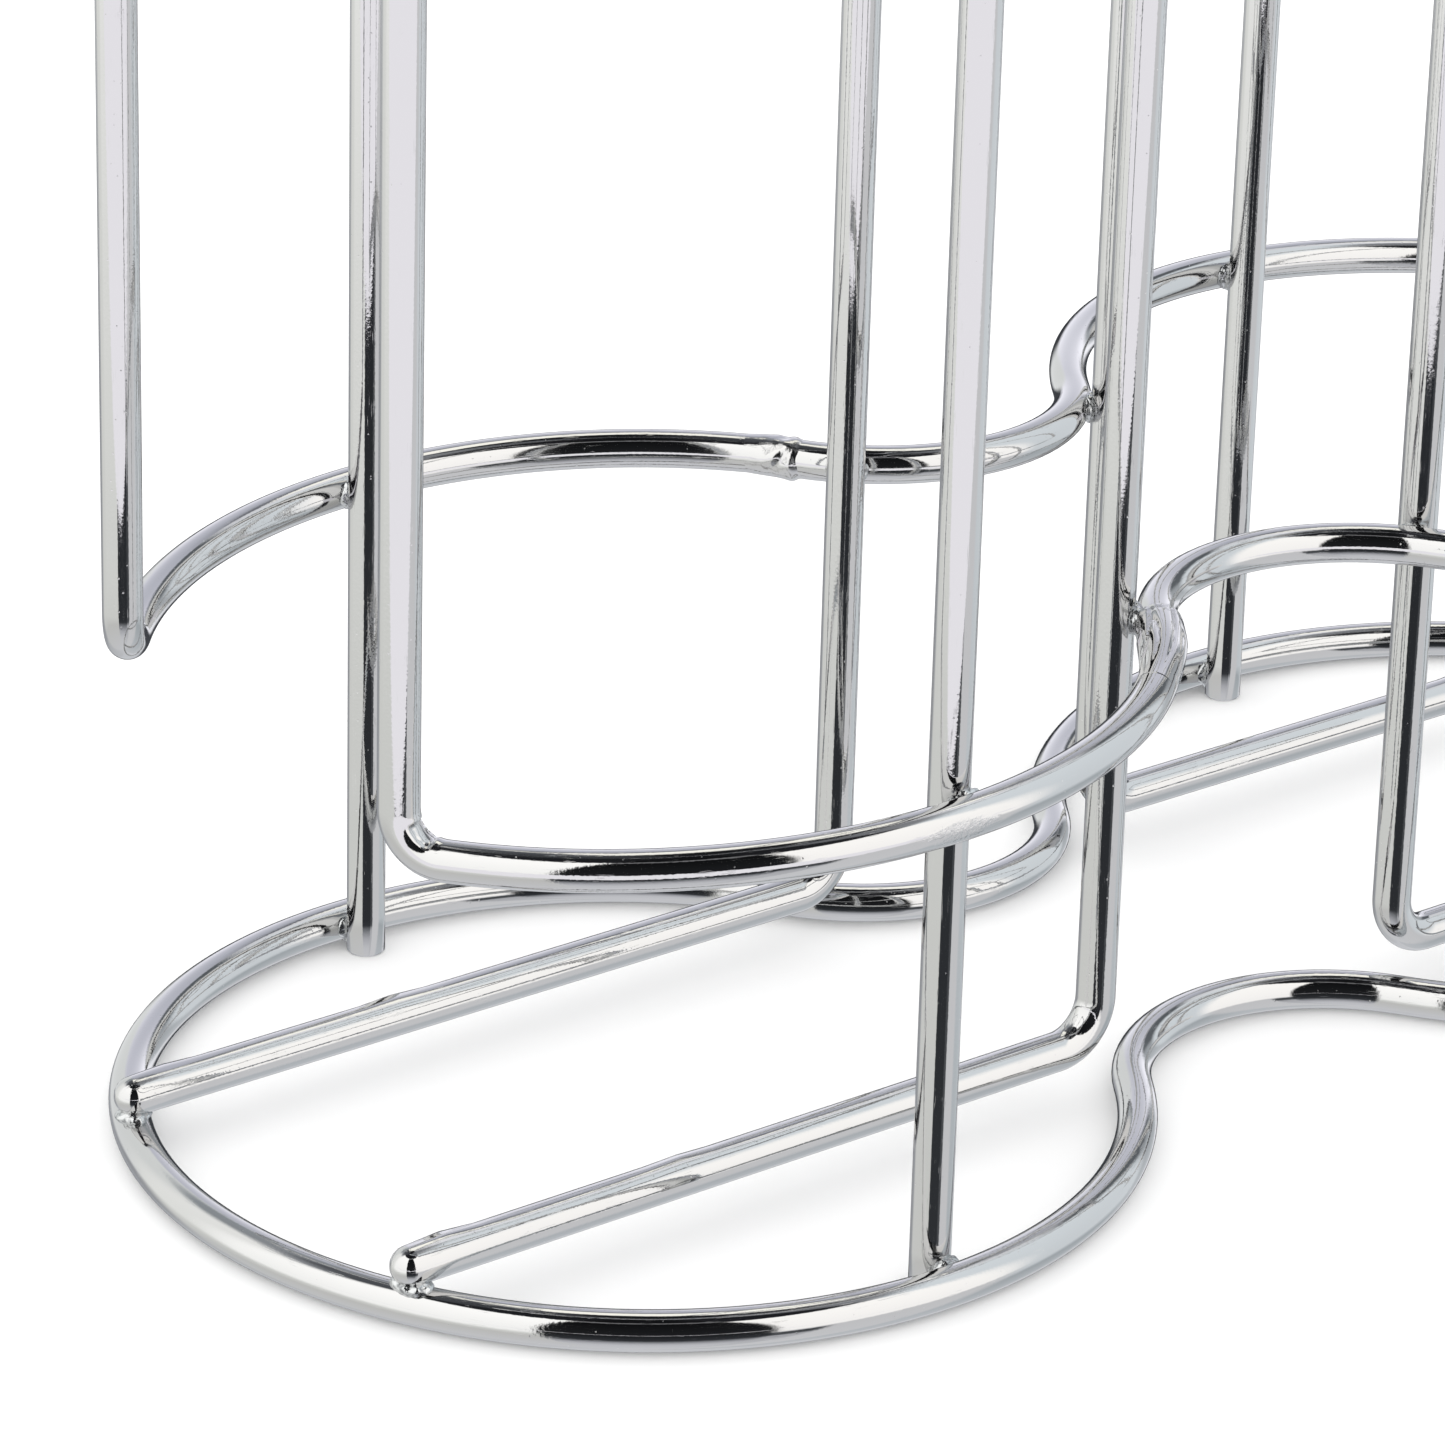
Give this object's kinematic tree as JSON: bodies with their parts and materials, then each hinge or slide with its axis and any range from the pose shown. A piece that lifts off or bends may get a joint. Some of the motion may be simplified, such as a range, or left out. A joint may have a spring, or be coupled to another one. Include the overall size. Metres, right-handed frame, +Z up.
{
  "type": "mug stacking stand",
  "caption": "Chrome wire stand for two columns of stacked mugs: peanut-shaped rings, slim uprights, floor rods under each column and an open handle slot at each end.",
  "frame": {"origin": "on the floor, under the middle of the waist between the two columns", "axes": "+X along the long side, +Y to the rear, +Z up"},
  "size_m": [0.224, 0.104, 0.2643],
  "materials": {
    "chrome_wire": "bright chrome plate on drawn steel wire, fine pits and scratches",
    "plated_weld": "lumpy weld metal, chrome plated with the wire"
  },
  "bodies": {
    "stand": {"base_ring": "chrome_wire", "left_rear_slot_wire": "chrome_wire", "left_rear_floor_rod": "chrome_wire", "left_rear_side_post": "chrome_wire", "left_front_slot_wire": "chrome_wire", "left_front_floor_rod": "chrome_wire", "left_front_side_post": "chrome_wire", "right_rear_slot_wire": "chrome_wire", "right_rear_floor_rod": "chrome_wire", "right_rear_side_post": "chrome_wire", "right_front_slot_wire": "chrome_wire", "right_front_floor_rod": "chrome_wire", "right_front_side_post": "chrome_wire", "base_ring_welds": "plated_weld", "floor_rod_tip_welds": "plated_weld", "middle_ring_welds": "plated_weld", "top_ring_welds": "plated_weld", "ring_butt_welds": "plated_weld"}
  },
  "joints": []
}
